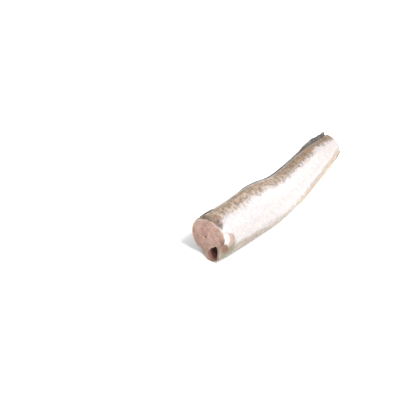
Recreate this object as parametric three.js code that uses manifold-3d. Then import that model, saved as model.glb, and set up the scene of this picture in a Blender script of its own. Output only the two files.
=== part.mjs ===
// A headed, gutted and tailed hake, lying on its belly and rolled on to its right side.
// Millimetres. X runs from the head cut to the tail cut, Z is up, and the left flank faces -Y.
import * as THREE from 'three';
import { mergeVertices } from 'three/addons/utils/BufferGeometryUtils.js';
import Module from 'manifold-3d';

const wasm = await Module();
wasm.setup();

// ---- Driving sizes -------------------------------------------------------------------------

// The trunk from cut to cut, and its depth (back to belly) and breadth at six places.
const trunkLength = 262;
const shoulderFromCut = 45;
const bellyFromCut = 90;
const ventFromCut = 125;
const waistFromTail = 56;
const depthAtCut = 52.5;
const depthAtShoulder = 52.5;
const depthAtBelly = 54;
const depthAtVent = 47;
const depthAtWaist = 38;
const depthAtTail = 26.5;
const breadthAtCut = 46;
const breadthAtShoulder = 46;
const breadthAtBelly = 43;
const breadthAtVent = 36;
const breadthAtWaist = 26;
const breadthAtTail = 15;

// How square the section is above and below its widest place: 2 is an ellipse, more is squarer.
const backFullness = 2.25;
const bellyFullness = 1.95;
// How much narrower the back is than the belly, as a share of the breadth.
const backTaper = 0.07;
// How far the widest place lies below the middle of the depth.
const widestDrop = 2.5;

// The head cut is oblique: it lies further back on the left flank, and the rings behind it turn
// square to the trunk over this length.
const cutSetback = 9;
const cutFade = 60;

// The belly flaps reach further forward than the flesh: how far, between which distances below the
// section's middle this comes on, and the length behind the cut over which it goes.
const flapReach = 6;
const flapFrom = 6;
const flapFull = 22;
const flapFade = 30;

// With the gut gone, the lower flanks fall in at the head cut: how far, at which angle from the
// back, over how many degrees, and the length behind the cut over which they fill out again.
const leftFallIn = 5;
const leftFallInAngle = 140;
const rightFallIn = 4;
const rightFallInAngle = 120;
const fallInSpan = 28;
const leftFallInLength = 16;
const rightFallInLength = 45;

// The lie of the fish: its roll on to the right side, and how far the tail bends to that side.
const rollAtCut = 40;
const rollAtTail = 60;
const tailBend = 41;
const bendFrom = 117;
const bendSoftness = 20;

// The underside spreads where it rests: how deep it would sink, how high the spreading reaches,
// and how much of it ends as the flat resting face.
const sinkDepth = 5;
const spreadHeight = 17;
const flatDepth = 2;

// The belly cavity: its roof below the section's middle, the walls left under it and beside it,
// the shift of its roof to the left flank, how square it is under its widest place, how far short
// of the vent it ends, the length over which it narrows and its size at its end as a share of the
// full size, and the breadth of the slit.
const cavityRoof = 5.5;
const bellyWall = 3.8;
const leftWall = 14;
const rightWall = 16;
const cavityShift = 0;
const cavityFullness = 2.2;
const cavityFromVent = 13;
const cavityTaper = 70;
const cavityTip = 0.1;
const slitAtCut = 3.6;
const slitAtEnd = 1.4;

// The scars left by the pectoral fins, one on each flank at the head cut: their size, and the
// place of their middle round the section, in degrees from the back.
const scarLength = 12;
const scarHeight = 22;
const scarDepth = 2.6;
const scarAngle = 114;

// The backbone: its breadth, and its place above the section's middle.
const boneAtCut = 9;
const boneAtTail = 5;
const boneRiseAtCut = 10;
const boneRiseAtTail = 0.5;
const boneShift = -2.5;

// The fins: where each starts behind the head cut or ends before the tail cut, and how high it
// stands along its length.
const firstDorsalFromCut = 4;
const firstDorsalLength = 20;
const firstDorsalHeight = 3;
const firstDorsalEnd = 1.5;
const secondDorsalFromCut = 66;
const secondDorsalFromTail = 1.5;
const secondDorsalLow = 2.6;
const secondDorsalNotch = 1.6;
const secondDorsalLobe = 7;
const secondDorsalEnd = 5.6;
const analFromVent = 6;
const analFromTail = 3;
const analLow = 2.4;
const analLobe = 4.2;
const analEnd = 2.9;

// Where a long fin's low front part ends, and where its notch and its rear lobe lie, as shares of
// its length.
const finLowUntil = 0.3;
const finNotchAt = 0.55;
const finLobeAt = 0.85;

// A fin's thickness at the root and at the edge, how deep its wedge reaches before the body is
// taken from it, the length over which it rises at the front, and the share of its height there.
const finRoot = 2.6;
const finEdge = 1.1;
const finSeat = 2;
const finTaper = 14;
const finFront = 0.25;

// Clearance between pieces that touch, and how far a cutter runs past an end face.
const gap = 0.3;
const cutterReach = 1;

// How finely the pieces are divided; the head face has rings at these shares of its outline.
const trunkRings = 56;
const faceShares = [0.3, 0.55, 0.8];
const trunkSides = 52;
const cavityRings = 22;
const cavitySides = 22;
const slitLevels = 8;
const boneRings = 16;
const boneSides = 14;
const scarSides = 24;
const scarBands = 14;
const finRings = 40;

// ---- Shape along the trunk -----------------------------------------------------------------

// A smooth curve through [place, value] pairs.
function alongStations(stations, x) {
  const last = stations.length - 1;
  if (x <= stations[0][0]) return stations[0][1];
  if (x >= stations[last][0]) return stations[last][1];
  const slopes = stations.map((_, i) => {
    const before = stations[Math.max(i - 1, 0)];
    const after = stations[Math.min(i + 1, last)];
    return (after[1] - before[1]) / (after[0] - before[0]);
  });
  const i = stations.findIndex((station) => station[0] > x) - 1;
  const [x0, y0] = stations[i];
  const [x1, y1] = stations[i + 1];
  const span = x1 - x0;
  const t = (x - x0) / span;
  const t2 = t * t;
  const t3 = t2 * t;
  return (2 * t3 - 3 * t2 + 1) * y0 + (t3 - 2 * t2 + t) * span * slopes[i]
    + (3 * t2 - 2 * t3) * y1 + (t3 - t2) * span * slopes[i + 1];
}

function smooth(low, high, x) {
  const t = Math.min(Math.max((x - low) / (high - low), 0), 1);
  return t * t * (3 - 2 * t);
}

const waistFromCut = trunkLength - waistFromTail;
const placesAlong = [0, shoulderFromCut, bellyFromCut, ventFromCut, waistFromCut, trunkLength];

function stationsOf(values) {
  return placesAlong.map((x, i) => [x, values[i]]);
}

const depths = stationsOf(
  [depthAtCut, depthAtShoulder, depthAtBelly, depthAtVent, depthAtWaist, depthAtTail]);
const breadths = stationsOf(
  [breadthAtCut, breadthAtShoulder, breadthAtBelly, breadthAtVent, breadthAtWaist, breadthAtTail]);

// The point of the full section's outline at an angle from the back, turning towards the left
// flank: [towards the back, towards the left flank], from the section's middle.
function fullOutlineAt(x, angle, grow) {
  const depth = alongStations(depths, x) / 2 + grow;
  const breadth = alongStations(breadths, x) / 2 + grow;
  const c = Math.cos(angle);
  const s = Math.sin(angle);
  const power = 2 / (c > 0 ? backFullness : bellyFullness);
  const reach = c > 0 ? depth + widestDrop : depth - widestDrop;
  const up = reach * Math.sign(c) * Math.abs(c) ** power - widestDrop;
  const out = breadth * Math.sign(s) * Math.abs(s) ** power * (1 - backTaper * c);
  return [up, out];
}

// How far the flanks fall in at an angle.
function fallInAt(x, angle) {
  const around = THREE.MathUtils.radToDeg(Math.atan2(Math.sin(angle), Math.cos(angle)));
  const hump = (middle) => Math.exp(-(((around - middle) / fallInSpan) ** 2));
  return leftFallIn * hump(leftFallInAngle) * (1 - smooth(0, leftFallInLength, x))
    + rightFallIn * hump(-rightFallInAngle) * (1 - smooth(0, rightFallInLength, x));
}

// The same point with the flanks fallen in.
function outlineAt(x, angle, grow = 0) {
  const [up, out] = fullOutlineAt(x, angle, grow);
  const inwards = fallInAt(x, angle);
  return [up - inwards * Math.cos(angle), out - inwards * Math.sin(angle)];
}

// The same outline as evenly turned points.
function outline(x, sides, grow = 0, pointAt = outlineAt) {
  return Array.from({ length: sides }, (_, i) => pointAt(x, (2 * Math.PI * i) / sides, grow));
}

function rollAt(x) {
  const share = smooth(0, trunkLength, x);
  return THREE.MathUtils.degToRad(rollAtCut + (rollAtTail - rollAtCut) * share);
}

// A section point turned by the roll: [across, up].
function rolled(x, [up, out]) {
  const roll = rollAt(x);
  return [up * Math.sin(roll) - out * Math.cos(roll), up * Math.cos(roll) + out * Math.sin(roll)];
}

// The section's middle stands so that the full section's lowest point would sink by sinkDepth.
function middleHeight(x) {
  const heights = outline(x, trunkSides, 0, fullOutlineAt).map((point) => rolled(x, point)[1]);
  return -Math.min(...heights) - sinkDepth;
}

// The centreline turns aside about bendFrom, along a rounded corner.
function middleAcross(x) {
  const rounded = (along) => along + Math.hypot(along, bendSoftness);
  return (tailBend * rounded(x - bendFrom)) / rounded(trunkLength - bendFrom);
}

// The soft underside spreads: heights under spreadHeight are pressed together.
function spread(z) {
  const t = Math.max((spreadHeight - z) / (spreadHeight + sinkDepth), 0);
  return z + (sinkDepth - flatDepth) * t * t;
}

// How far back the oblique cut moves a section point, less the flaps' reach forward.
function setback(x, [up, out]) {
  const share = (out + breadthAtCut / 2) / breadthAtCut;
  return cutSetback * share * (1 - smooth(0, cutFade, x))
    - flapReach * smooth(flapFrom, flapFull, -up) * (1 - smooth(0, flapFade, x));
}

// A section point in its place.
function placed(x, point) {
  const [across, up] = rolled(x, point);
  return new THREE.Vector3(
    x + setback(x, point), middleAcross(x) + across, spread(middleHeight(x) + up));
}

// ---- Solids --------------------------------------------------------------------------------

// A closed skin over rings of equally many points, each ring turning from the back to the left.
function loft(rings) {
  const sides = rings[0].length;
  const points = rings.flat();
  const faces = [];
  for (let r = 0; r < rings.length - 1; r += 1) {
    for (let i = 0; i < sides; i += 1) {
      const a = r * sides + i;
      const b = r * sides + ((i + 1) % sides);
      faces.push(a, b, a + sides, b, b + sides, a + sides);
    }
  }
  [0, rings.length - 1].forEach((r) => {
    const middle = points.length;
    const sum = rings[r].reduce((total, p) => total.add(p), new THREE.Vector3());
    points.push(sum.divideScalar(sides));
    for (let i = 0; i < sides; i += 1) {
      const a = r * sides + i;
      const b = r * sides + ((i + 1) % sides);
      if (r === 0) faces.push(middle, b, a);
      else faces.push(middle, a, b);
    }
  });
  const geometry = new THREE.BufferGeometry().setFromPoints(points);
  geometry.setIndex(faces);
  return geometry;
}

function solid(geometry) {
  const plain = geometry.clone();
  plain.deleteAttribute('normal');
  plain.deleteAttribute('uv');
  const merged = mergeVertices(plain);
  return new wasm.Manifold(new wasm.Mesh({
    numProp: 3,
    vertProperties: new Float32Array(merged.attributes.position.array),
    triVerts: new Uint32Array(merged.index.array),
  }));
}

function geometryOf(made) {
  const mesh = made.getMesh();
  const geometry = new THREE.BufferGeometry();
  geometry.setAttribute('position', new THREE.BufferAttribute(mesh.vertProperties, 3));
  geometry.setIndex(new THREE.BufferAttribute(mesh.triVerts, 1));
  geometry.computeVertexNormals();
  return geometry;
}

function places(from, to, count) {
  return Array.from({ length: count + 1 }, (_, i) => from + ((to - from) * i) / count);
}

// What lies under the resting plane.
function underfloor() {
  const box = new THREE.BoxGeometry(trunkLength * 2, trunkLength, sinkDepth * 4);
  box.translate(trunkLength / 2, 0, -sinkDepth * 2);
  return solid(box);
}

// The same rings with each end ring repeated further out, for a cutter that passes an end face.
function overrun(rings, ahead, behind = ahead) {
  const shifted = (ring, x) => ring.map((point) => point.clone().add(new THREE.Vector3(x, 0, 0)));
  return [shifted(rings[0], -ahead), ...rings, shifted(rings[rings.length - 1], behind)];
}

// The body's skin and its two cut faces, or a cutter that is larger by a clearance.
function bodySolid(grow = 0) {
  const ring = (x, share = 1) => outline(x, trunkSides, grow)
    .map(([up, out]) => placed(x, [up * share, out * share]));
  const rings = places(0, trunkLength, trunkRings).map((x) => ring(x));
  const cutFace = faceShares.map((share) => ring(0, share));
  return solid(loft(grow > 0 ? overrun(rings, grow) : [...cutFace, ...rings]));
}

const cavityEnd = ventFromCut - cavityFromVent;

// The middle of the cavity's height, towards the back from the section's middle.
function cavityMiddle(x) {
  return -(cavityRoof + alongStations(depths, x) / 2 - bellyWall) / 2;
}

// The cavity narrows towards its end.
function cavitySolid() {
  const rings = places(0, cavityEnd, cavityRings).map((x) => {
    const open = Math.sqrt(1 - smooth(cavityEnd - cavityTaper, cavityEnd, x));
    const closing = Math.max(open, cavityTip);
    const high = -cavityMiddle(x) - cavityRoof;
    const flank = alongStations(breadths, x) / 2;
    return Array.from({ length: cavitySides }, (_, i) => {
      const angle = (2 * Math.PI * i) / cavitySides;
      const c = Math.cos(angle);
      const s = Math.sin(angle);
      const power = c > 0 ? 1 : 2 / cavityFullness;
      const wide = s > 0 ? flank - leftWall - cavityShift : flank - rightWall + cavityShift;
      const up = cavityMiddle(x) + high * closing * Math.sign(c) * Math.abs(c) ** power;
      const out = cavityShift + wide * closing * Math.sign(s) * Math.abs(s) ** power;
      return placed(x, [up, out]);
    });
  });
  return solid(loft(overrun(rings, flapReach + cutterReach, cutterReach)));
}

// The slit is a thin wedge from the cavity's middle down through the belly.
function slitSolid() {
  const rings = places(0, cavityEnd, cavityRings).map((x) => {
    const half = (slitAtCut + (slitAtEnd - slitAtCut) * smooth(0, cavityEnd, x)) / 2;
    const top = cavityMiddle(x);
    const bottom = -alongStations(depths, x) / 2 - sinkDepth;
    const levels = places(top, bottom, slitLevels);
    return [...levels.map((up) => [up, half]), ...levels.reverse().map((up) => [up, -half])]
      .map((point) => placed(x, point));
  });
  return solid(loft(overrun(rings, flapReach + cutterReach, cutterReach)));
}

// A scar is a shallow bowl in the flank, widest at the head cut and square to the skin there.
function scarSolid(side) {
  const bowl = new THREE.SphereGeometry(1, scarSides, scarBands);
  const angle = THREE.MathUtils.degToRad(scarAngle);
  const step = Math.PI / trunkSides;
  const [above, middle, below] = [angle - step, angle, angle + step]
    .map((around) => placed(0, outlineAt(0, side * around)));
  bowl.scale(scarLength, scarDepth, scarHeight / 2);
  bowl.rotateX(Math.atan2(below.y - above.y, above.z - below.z));
  bowl.translate(middle.x, middle.y, middle.z);
  return solid(bowl);
}

// The backbone, or a cutter for its channel that is larger by a clearance.
function boneSolid(grow = 0) {
  const rings = places(0, trunkLength, boneRings).map((x) => {
    const share = smooth(0, trunkLength, x);
    const radius = (boneAtCut + (boneAtTail - boneAtCut) * share) / 2 + grow;
    const rise = boneRiseAtCut + (boneRiseAtTail - boneRiseAtCut) * share;
    const shift = boneShift * (1 - share);
    return Array.from({ length: boneSides }, (_, k) => {
      const angle = (2 * Math.PI * k) / boneSides;
      return placed(x, [rise + radius * Math.cos(angle), shift + radius * Math.sin(angle)]);
    });
  });
  return solid(loft(grow > 0 ? overrun(rings, cutterReach) : rings));
}

function trunk() {
  let made = bodySolid();
  made = made.subtract(cavitySolid());
  made = made.subtract(slitSolid());
  made = made.subtract(scarSolid(1));
  made = made.subtract(scarSolid(-1));
  made = made.subtract(boneSolid(gap));
  return made.subtract(underfloor());
}

// A fin stands on the back (side 1) or the belly (side -1) between two places along the trunk.
function finSolid(from, to, side, heights) {
  const rings = places(from, to, finRings).map((x) => {
    const front = finFront + (1 - finFront) * smooth(from, from + finTaper, x);
    const height = alongStations(heights, x) * front;
    const edge = alongStations(depths, x) / 2;
    const low = side * (edge - finSeat);
    const high = side * (edge + gap + height);
    return [[high, finEdge / 2], [low, finRoot / 2], [low, -finRoot / 2], [high, -finEdge / 2]]
      .map(([up, out]) => placed(x, [up, side * out]));
  });
  return solid(loft(rings)).subtract(bodySolid(gap)).subtract(underfloor());
}

function firstDorsalFin() {
  const from = firstDorsalFromCut;
  const to = from + firstDorsalLength;
  return finSolid(from, to, 1, [[from, firstDorsalHeight], [to, firstDorsalEnd]]);
}

function secondDorsalFin() {
  const from = secondDorsalFromCut;
  const to = trunkLength - secondDorsalFromTail;
  const at = (share) => from + (to - from) * share;
  return finSolid(from, to, 1, [
    [from, secondDorsalLow], [at(finLowUntil), secondDorsalLow], [at(finNotchAt), secondDorsalNotch],
    [at(finLobeAt), secondDorsalLobe], [to, secondDorsalEnd]]);
}

function analFin() {
  const from = ventFromCut + analFromVent;
  const to = trunkLength - analFromTail;
  const at = (share) => from + (to - from) * share;
  return finSolid(from, to, -1, [
    [from, analLow], [at(finNotchAt), analLow], [at(finLobeAt), analLobe], [to, analEnd]]);
}

// ---- The scene graph -----------------------------------------------------------------------

function piece(name, made, color, roughness) {
  const material = new THREE.MeshStandardMaterial({ color, roughness, metalness: 0 });
  const mesh = new THREE.Mesh(geometryOf(made), material);
  mesh.name = name;
  return mesh;
}

const hake = new THREE.Group();
hake.add(piece('hake_trunk', trunk(), '#e9e2dc', 0.35));
hake.add(piece('backbone', boneSolid(), '#dba79a', 0.5));
hake.add(piece('first_dorsal_fin', firstDorsalFin(), '#6a5f57', 0.45));
hake.add(piece('second_dorsal_fin', secondDorsalFin(), '#5c5454', 0.45));
hake.add(piece('anal_fin', analFin(), '#d8cfc4', 0.45));

// The origin lies under the middle of the whole fish, on the resting plane.
const box = new THREE.Box3().setFromObject(hake);
const middle = box.getCenter(new THREE.Vector3());
hake.position.set(-middle.x, -middle.y, 0);

export default hake;
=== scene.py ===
"""A headed, gutted and tailed hake lying on a pale table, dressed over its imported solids."""

import math

import bpy
import numpy as np
from mathutils import Matrix, Vector


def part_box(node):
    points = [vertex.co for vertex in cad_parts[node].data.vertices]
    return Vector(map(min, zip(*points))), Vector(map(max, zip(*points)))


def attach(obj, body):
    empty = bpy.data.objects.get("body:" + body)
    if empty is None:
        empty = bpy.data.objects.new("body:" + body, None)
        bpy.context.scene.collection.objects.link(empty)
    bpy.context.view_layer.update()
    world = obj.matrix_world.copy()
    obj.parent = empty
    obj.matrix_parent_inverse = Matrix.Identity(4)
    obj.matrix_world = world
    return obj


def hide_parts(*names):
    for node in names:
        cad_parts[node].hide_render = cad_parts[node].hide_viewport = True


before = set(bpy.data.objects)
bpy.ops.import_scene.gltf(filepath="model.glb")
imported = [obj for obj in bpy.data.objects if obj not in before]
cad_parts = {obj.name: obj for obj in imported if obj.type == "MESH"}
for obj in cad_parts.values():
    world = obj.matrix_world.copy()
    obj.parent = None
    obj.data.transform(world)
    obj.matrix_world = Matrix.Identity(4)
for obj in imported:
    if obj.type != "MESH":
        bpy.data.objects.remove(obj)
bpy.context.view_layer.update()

MM = 0.001


# ---- Shape of the fish, in millimetres -----------------------------------------------------

LENGTH = 262.0
STATIONS = np.array([0, 45, 90, 125, 206, LENGTH])
DEPTHS = np.array([52.5, 52.5, 54, 47, 38, 26.5])
BREADTHS = np.array([46, 46, 43, 36, 26, 15.0])
BACK_FULLNESS, BELLY_FULLNESS = 2.25, 1.95
BACK_TAPER = 0.07
WIDEST_DROP = 2.5
CUT_SETBACK, CUT_FADE = 9.0, 60.0
FLAP_REACH, FLAP_FROM, FLAP_FULL, FLAP_FADE = 6.0, 6.0, 22.0, 30.0
LEFT_FALL_IN, LEFT_FALL_IN_ANGLE, LEFT_FALL_IN_LENGTH = 5.0, 140.0, 16.0
RIGHT_FALL_IN, RIGHT_FALL_IN_ANGLE, RIGHT_FALL_IN_LENGTH = 4.0, 120.0, 45.0
FALL_IN_SPAN = 28.0
ROLL_AT_CUT, ROLL_AT_TAIL = 40.0, 60.0
TAIL_BEND, BEND_FROM, BEND_SOFTNESS = 41.0, 117.0, 20.0
SINK, SPREAD_HEIGHT, FLAT = 5.0, 17.0, 2.0
CAVITY_ROOF, BELLY_WALL, LEFT_WALL, RIGHT_WALL = 5.5, 3.8, 14.0, 16.0
CAVITY_FULLNESS, CAVITY_END, CAVITY_TAPER, CAVITY_TIP = 2.2, 112.0, 70.0, 0.1
SLIT_AT_CUT, SLIT_AT_END = 3.6, 1.4
SCAR_LENGTH, SCAR_HEIGHT, SCAR_DEPTH, SCAR_ANGLE = 12.0, 22.0, 2.6, 114.0
BONE_AT_CUT, BONE_AT_TAIL = 9.0, 5.0
BONE_RISE_AT_CUT, BONE_RISE_AT_TAIL, BONE_SHIFT = 10.0, 0.5, -2.5


def along(values, x):
    """A smooth curve through the stations."""
    x = np.clip(np.asarray(x, float), 0, LENGTH)
    last = len(STATIONS) - 1
    slopes = np.array([
        (values[min(i + 1, last)] - values[max(i - 1, 0)])
        / (STATIONS[min(i + 1, last)] - STATIONS[max(i - 1, 0)]) for i in range(last + 1)])
    i = np.clip(np.searchsorted(STATIONS, x, side="right") - 1, 0, last - 1)
    span = STATIONS[i + 1] - STATIONS[i]
    t = (x - STATIONS[i]) / span
    t2, t3 = t * t, t * t * t
    return ((2 * t3 - 3 * t2 + 1) * values[i] + (t3 - 2 * t2 + t) * span * slopes[i]
            + (3 * t2 - 2 * t3) * values[i + 1] + (t3 - t2) * span * slopes[i + 1])


def smooth(low, high, x):
    """Goes from 0 to 1 between low and high, without corners."""
    t = np.clip((np.asarray(x, float) - low) / (high - low), 0, 1)
    return t * t * (3 - 2 * t)


def hump(middle, width, x):
    """A soft hump of height 1."""
    return np.exp(-(((np.asarray(x, float) - middle) / width) ** 2))


def full_outline(x, angle):
    """The full section's skin at an angle from the back, turning to the left flank: (up, out)."""
    depth, breadth = along(DEPTHS, x) / 2, along(BREADTHS, x) / 2
    c, s = np.cos(angle), np.sin(angle)
    power = 2 / np.where(c > 0, BACK_FULLNESS, BELLY_FULLNESS)
    reach = np.where(c > 0, depth + WIDEST_DROP, depth - WIDEST_DROP)
    up = reach * np.sign(c) * np.abs(c) ** power - WIDEST_DROP
    out = breadth * np.sign(s) * np.abs(s) ** power * (1 - BACK_TAPER * c)
    return up, out


def outline(x, angle):
    """The same with the flanks fallen in at the head cut."""
    up, out = full_outline(x, angle)
    around = np.degrees(np.arctan2(np.sin(angle), np.cos(angle)))
    inwards = (LEFT_FALL_IN * hump(LEFT_FALL_IN_ANGLE, FALL_IN_SPAN, around)
               * (1 - smooth(0, LEFT_FALL_IN_LENGTH, x))
               + RIGHT_FALL_IN * hump(-RIGHT_FALL_IN_ANGLE, FALL_IN_SPAN, around)
               * (1 - smooth(0, RIGHT_FALL_IN_LENGTH, x)))
    return up - inwards * np.cos(angle), out - inwards * np.sin(angle)


def rolled(x, up, out):
    """Section points turned with the fish's roll: across and height."""
    roll = np.radians(ROLL_AT_CUT + (ROLL_AT_TAIL - ROLL_AT_CUT) * smooth(0, LENGTH, x))
    return up * np.sin(roll) - out * np.cos(roll), up * np.cos(roll) + out * np.sin(roll)


# The lowest point of each rolled section sets how high its middle lies.
_around = np.linspace(0, 2 * np.pi, 52, endpoint=False)
_steps = np.linspace(0, LENGTH, 263)
_heights = np.array([-rolled(x, *full_outline(x, _around))[1].min() - SINK for x in _steps])


def middle_across(x):
    """How far the bent tail carries the fish's middle to the side."""
    def rounded(t):
        return t + np.hypot(t, BEND_SOFTNESS)
    return TAIL_BEND * rounded(np.asarray(x, float) - BEND_FROM) / rounded(LENGTH - BEND_FROM)


def placed(x, up, out):
    """Section points in their place before the fish is centred on its box."""
    across, height = rolled(x, up, out)
    share = (out + BREADTHS[0] / 2) / BREADTHS[0]
    back = (CUT_SETBACK * share * (1 - smooth(0, CUT_FADE, x))
            - FLAP_REACH * smooth(FLAP_FROM, FLAP_FULL, -up) * (1 - smooth(0, FLAP_FADE, x)))
    z = np.interp(x, _steps, _heights) + height
    t = np.maximum((SPREAD_HEIGHT - z) / (SPREAD_HEIGHT + SINK), 0)
    z = np.maximum(z + (SINK - FLAT) * t * t, 0)
    return np.stack(np.broadcast_arrays(x + back, middle_across(x) + across, z), -1)


def bone_place(x):
    """The backbone's rise and shift from the section's middle, and its radius."""
    share = smooth(0, LENGTH, x)
    rise = BONE_RISE_AT_CUT + (BONE_RISE_AT_TAIL - BONE_RISE_AT_CUT) * share
    radius = (BONE_AT_CUT + (BONE_AT_TAIL - BONE_AT_CUT) * share) / 2
    return rise, BONE_SHIFT * (1 - share), radius


def cavity_size(x):
    """The cavity's middle, half height and half breadths to the left and to the right."""
    depth, breadth = along(DEPTHS, x) / 2, along(BREADTHS, x) / 2
    open_share = math.sqrt(1 - smooth(CAVITY_END - CAVITY_TAPER, CAVITY_END, x))
    closing = max(open_share, CAVITY_TIP)
    middle = -(CAVITY_ROOF + depth - BELLY_WALL) / 2
    high = -middle - CAVITY_ROOF
    return (middle, high * closing, (breadth - LEFT_WALL) * closing,
            (breadth - RIGHT_WALL) * closing)


def centring():
    """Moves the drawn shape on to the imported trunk's box."""
    angles = np.linspace(-math.pi, math.pi, 241)
    x, angle = np.meshgrid(np.linspace(0, LENGTH, 263), angles, indexing="ij")
    points = placed(x, *outline(x, angle))
    low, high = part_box("hake_trunk")
    own = (points.reshape(-1, 3).min(axis=0) + points.reshape(-1, 3).max(axis=0)) / 2
    packed = np.array((low + high) / 2) / MM
    return np.array([packed[0] - own[0], packed[1] - own[1], 0])


centre = centring()


# ---- Camera --------------------------------------------------------------------------------

VIEW_TURN = math.radians(-48)
VIEW_HEIGHT = math.radians(35)
VIEW_DISTANCE = 1.25
LENS = 97.8
VIEWED_POINT = (120, 8, 20)
AIM_LEFT, AIM_DOWN = 0.0871, 0.0094


def place_camera():
    """Looks down on the left flank from the head end, past the fish, which lies right of the middle."""
    back = Vector((math.sin(VIEW_TURN) * math.cos(VIEW_HEIGHT),
                   -math.cos(VIEW_TURN) * math.cos(VIEW_HEIGHT), math.sin(VIEW_HEIGHT)))
    right = Vector((math.cos(VIEW_TURN), math.sin(VIEW_TURN), 0))
    up = back.cross(right)
    subject = (Vector(VIEWED_POINT) + Vector(centre)) * MM
    place = subject + back * VIEW_DISTANCE
    aim = subject - right * AIM_LEFT - up * AIM_DOWN
    back = (place - aim).normalized()
    right = (right - back * right.dot(back)).normalized()
    up = back.cross(right)
    data = bpy.data.cameras.new("camera")
    data.lens = LENS
    data.sensor_width = 36
    data.clip_start = 0.05
    data.clip_end = 30
    camera = bpy.data.objects.new("camera", data)
    bpy.context.scene.collection.objects.link(camera)
    turn = Matrix((right, up, back)).transposed().to_4x4()
    camera.matrix_world = Matrix.Translation(place) @ turn
    bpy.context.scene.camera = camera


place_camera()


# ---- Tools for the shapes ------------------------------------------------------------------

class Lumps:
    """Soft random lumps, the same in every run."""

    def __init__(self, seed):
        self.table = np.random.default_rng(seed).uniform(-1, 1, (32, 32, 32))

    def __call__(self, points, spacing):
        p = np.asarray(points, float) / spacing
        base = np.floor(p).astype(int)
        part = p - base
        part = part * part * (3 - 2 * part)
        total = np.zeros(p.shape[:-1])
        for corner in np.ndindex(2, 2, 2):
            weight = np.ones(p.shape[:-1])
            for k in range(3):
                weight = weight * (part[..., k] if corner[k] else 1 - part[..., k])
            i = (base + np.array(corner)) % 32
            total += weight * self.table[i[..., 0], i[..., 1], i[..., 2]]
        return total


lumps = Lumps(11)


def resampled(points, count):
    """Evenly spaced points along an open line of rows."""
    steps = np.r_[0, np.cumsum(np.linalg.norm(np.diff(points[:, :2], axis=0), axis=1))]
    wanted = np.linspace(0, steps[-1], count)
    return np.stack([np.interp(wanted, steps, points[:, k]) for k in range(points.shape[1])], 1)


def trimmed(points, half):
    """An outline from the right edge of the slit over the back to its left edge."""
    up, out = points[:, 0], points[:, 1]
    low = np.abs(points[:, 2]) > math.pi / 2
    keep = ~(low & (np.abs(out) < half))
    first, last = np.argmax(keep), len(keep) - 1 - np.argmax(keep[::-1])
    kept = points[first:last + 1].copy()
    start = np.array([np.interp(half, -out[:first + 1][::-1], up[:first + 1][::-1])
                      if first else up[0], -half, kept[0, 2]])
    end = np.array([np.interp(half, out[last:][::-1], up[last:][::-1])
                    if last < len(out) - 1 else up[-1], half, kept[-1, 2]])
    return np.vstack([start, kept, end])


def slit_half(x):
    """Half the slit's width, which closes to nothing at the vent."""
    width = SLIT_AT_CUT + (SLIT_AT_END - SLIT_AT_CUT) * smooth(0, CAVITY_END, x)
    return width / 2 * (1 - smooth(CAVITY_END - 10, CAVITY_END + 1, x))


# ---- Meshes --------------------------------------------------------------------------------

class Surface:
    """Gathers grids of points into one mesh, with a finish for each grid and marks on its points."""

    def __init__(self, name):
        self.name, self.points, self.faces, self.finish, self.marks = name, [], [], [], {}
        self.count = 0
        self.finishes = []

    def grid(self, points, finish, marks=None, wrap=False, weld_from=None, flip=False):
        """points is (rows, columns, 3). weld_from joins the last column to the first from a row on."""
        rows, columns = points.shape[:2]
        index = self.count + np.arange(rows * columns).reshape(rows, columns)
        self.points.append(points.reshape(-1, 3))
        self.count += rows * columns
        for key, value in (marks or {}).items():
            self.marks.setdefault(key, []).append((index.reshape(-1), value.reshape(-1, 3)))
        if weld_from is not None:
            index = index.copy()
            index[weld_from:, -1] = index[weld_from:, 0]
        if wrap:
            index = np.hstack([index, index[:, :1]])
        a, b, c, d = index[:-1, :-1], index[:-1, 1:], index[1:, 1:], index[1:, :-1]
        quads = np.stack([a, d, c, b] if flip else [a, b, c, d], -1).reshape(-1, 4)
        self.faces.append(quads)
        if finish not in self.finishes:
            self.finishes.append(finish)
        self.finish.append(np.full(len(quads), self.finishes.index(finish)))

    def build(self, centre):
        points = (np.vstack(self.points) + centre) * MM
        faces = np.vstack(self.faces)
        mesh = bpy.data.meshes.new(self.name)
        mesh.from_pydata(points.tolist(), [], faces.tolist())
        mesh.polygons.foreach_set("use_smooth", np.ones(len(faces), bool))
        mesh.polygons.foreach_set("material_index", np.concatenate(self.finish).astype(np.int32))
        for finish in self.finishes:
            mesh.materials.append(finish)
        for key, parts in self.marks.items():
            values = np.zeros((self.count, 3), np.float32)
            for index, value in parts:
                values[index] = value
            layer = mesh.attributes.new(key, "FLOAT_VECTOR", "POINT")
            layer.data.foreach_set("vector", values.reshape(-1))
        mesh.validate()
        made = bpy.data.objects.new(self.name, mesh)
        bpy.context.scene.collection.objects.link(made)
        return made


# ---- Finishes ------------------------------------------------------------------------------

def tint(red, green, blue):
    """A colour from its everyday 0 to 255 values."""
    def one(v):
        v /= 255
        return v / 12.92 if v <= 0.04045 else ((v + 0.055) / 1.055) ** 2.4
    return (one(red), one(green), one(blue), 1)


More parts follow.
